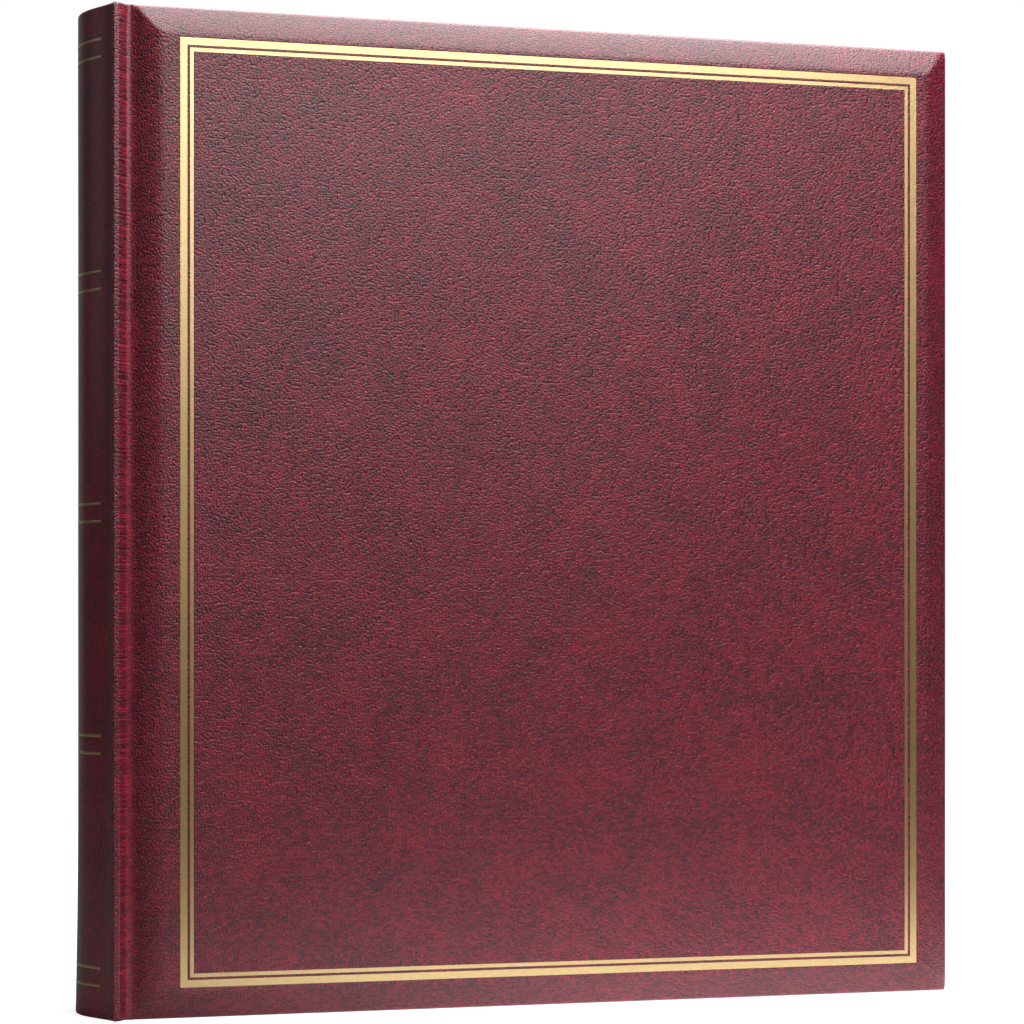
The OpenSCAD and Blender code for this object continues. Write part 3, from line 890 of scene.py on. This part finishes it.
def build_camera():
    data = bpy.data.cameras.new("camera")
    data.sensor_width = SENSOR_MM
    data.lens = SENSOR_MM * FOCAL_PX / FRAME_PX
    data.shift_y = (HORIZON_PX - FRAME_PX / 2) / FRAME_PX
    data.clip_start, data.clip_end = 0.05, 40
    camera = bpy.data.objects.new("camera", data)
    camera.location = CAMERA_POINT
    camera.rotation_euler = (math.radians(90), 0, math.radians(-CAMERA_TURN))
    bpy.context.collection.objects.link(camera)
    bpy.context.scene.camera = camera


def area_light(name, place, target, size, power):
    data = bpy.data.lights.new(name, "AREA")
    data.shape = "RECTANGLE"
    data.size, data.size_y = size
    data.energy = power
    light = bpy.data.objects.new(name, data)
    light.location = place
    aim = Vector(target) - Vector(place)
    light.rotation_euler = aim.to_track_quat("-Z", "Y").to_euler()
    bpy.context.collection.objects.link(light)
    return light


def mapped(tree, share, low, high):
    """low where share is 0 and high where it is 1; low and high are numbers or sockets."""
    node = add_node(tree, "MapRange")
    tree.links.new(share, node.inputs["Value"])
    for name, value in (("To Min", low), ("To Max", high)):
        if isinstance(value, bpy.types.NodeSocket):
            tree.links.new(value, node.inputs[name])
        else:
            node.inputs[name].default_value = value
    return node.outputs["Result"]


def background_strength(tree, dull, glossy, seen):
    """Strength of a background: what it gives to dull surfaces, what glossy ones show of
    it, and what the eye sees, directly or through film."""
    paths = add_node(tree, "LightPath").outputs
    direct = add_node(tree, "Math", operation="MAXIMUM")
    tree.links.new(paths["Is Camera Ray"], direct.inputs[0])
    tree.links.new(paths["Is Transmission Ray"], direct.inputs[1])
    hidden = mapped(tree, paths["Is Glossy Ray"], dull, glossy)
    return mapped(tree, direct.outputs[0], hidden, seen)


def build_world():
    """White to the eye, and nearly dark to the album, which the lamps light."""
    world = bpy.data.worlds.new("world")
    world.use_nodes = True
    tree = world.node_tree
    tree.nodes.clear()
    output = add_node(tree, "OutputWorld")
    sky = add_node(tree, "Background")
    sky.inputs["Color"].default_value = (1, 1, 1, 1)
    tree.links.new(background_strength(tree, WORLD_DULL, WORLD_GLOSSY, 1.0),
                   sky.inputs["Strength"])
    tree.links.new(sky.outputs[0], output.inputs["Surface"])
    bpy.context.scene.world = world


def build_floor():
    """A white floor that takes the album's shadow and lights it from below."""
    material = bpy.data.materials.new("floor")
    corners = [(-FLOOR_SIZE, FLOOR_FRONT, 0), (FLOOR_SIZE, FLOOR_FRONT, 0),
               (FLOOR_SIZE, FLOOR_SIZE, 0), (-FLOOR_SIZE, FLOOR_SIZE, 0)]
    floor = new_object("floor", corners, [(0, 1, 2, 3)], material, smooth=False)
    material.use_nodes = True
    tree = material.node_tree
    tree.nodes.clear()
    output = add_node(tree, "OutputMaterial")
    diffuse = add_node(tree, "BsdfDiffuse")
    paths = add_node(tree, "LightPath").outputs
    tree.links.new(mapped(tree, paths["Is Glossy Ray"], FLOOR_COLOUR, FLOOR_REFLECTED),
                   diffuse.inputs["Color"])
    place = add_node(tree, "TexCoord")
    strengths = []
    for pool in (FLOOR_DULL, FLOOR_GLOSSY, FLOOR_SEEN):
        x, y = pool.middle
        squeezed = add_node(tree, "VectorMath", operation="MULTIPLY")
        tree.links.new(place.outputs["Object"], squeezed.inputs[0])
        squeezed.inputs[1].default_value = (1 / pool.stretch, 1, 1)
        away = add_node(tree, "VectorMath", operation="DISTANCE")
        tree.links.new(squeezed.outputs[0], away.inputs[0])
        away.inputs[1].default_value = (x / pool.stretch, y, 0)
        strengths.append(mapped(tree, away.outputs["Value"], pool.near, pool.far))
        strengths[-1].node.inputs["From Min"].default_value = pool.start
        strengths[-1].node.inputs["From Max"].default_value = pool.end
    glow = add_node(tree, "Emission")
    tree.links.new(background_strength(tree, *strengths), glow.inputs["Strength"])
    both = add_node(tree, "AddShader")
    tree.links.new(diffuse.outputs[0], both.inputs[0])
    tree.links.new(glow.outputs[0], both.inputs[1])
    tree.links.new(both.outputs[0], output.inputs["Surface"])


def build_stage():
    build_camera()
    build_world()
    build_floor()
    lights = {lamp[0]: area_light(*lamp) for lamp in LAMPS}
    lights["fill"].visible_glossy = False
    wall = lights["white_wall"]          # seen only in reflections at the edges
    wall.visible_camera = wall.visible_diffuse = wall.visible_transmission = False


# ---------------------------------------------------------------- Build

dress_nodes()
build_spine()
build_spine_rules()
front = build_cover(-1, "front_skin", "front_cover_leather", gilt=True)
build_cover(1, "back_skin", "back_cover_leather", gilt=False)
build_foil("front_rule_wide", "front_gold_rule_wide", *front, RULES[0])
build_foil("front_rule_thin", "front_gold_rule_thin", *front, RULES[1])
build_joint(-1, "front_groove_skin", "front_joint")
build_joint(1, "back_groove_skin", "back_joint")
build_stage()

bpy.context.scene.view_settings.view_transform = "Standard"
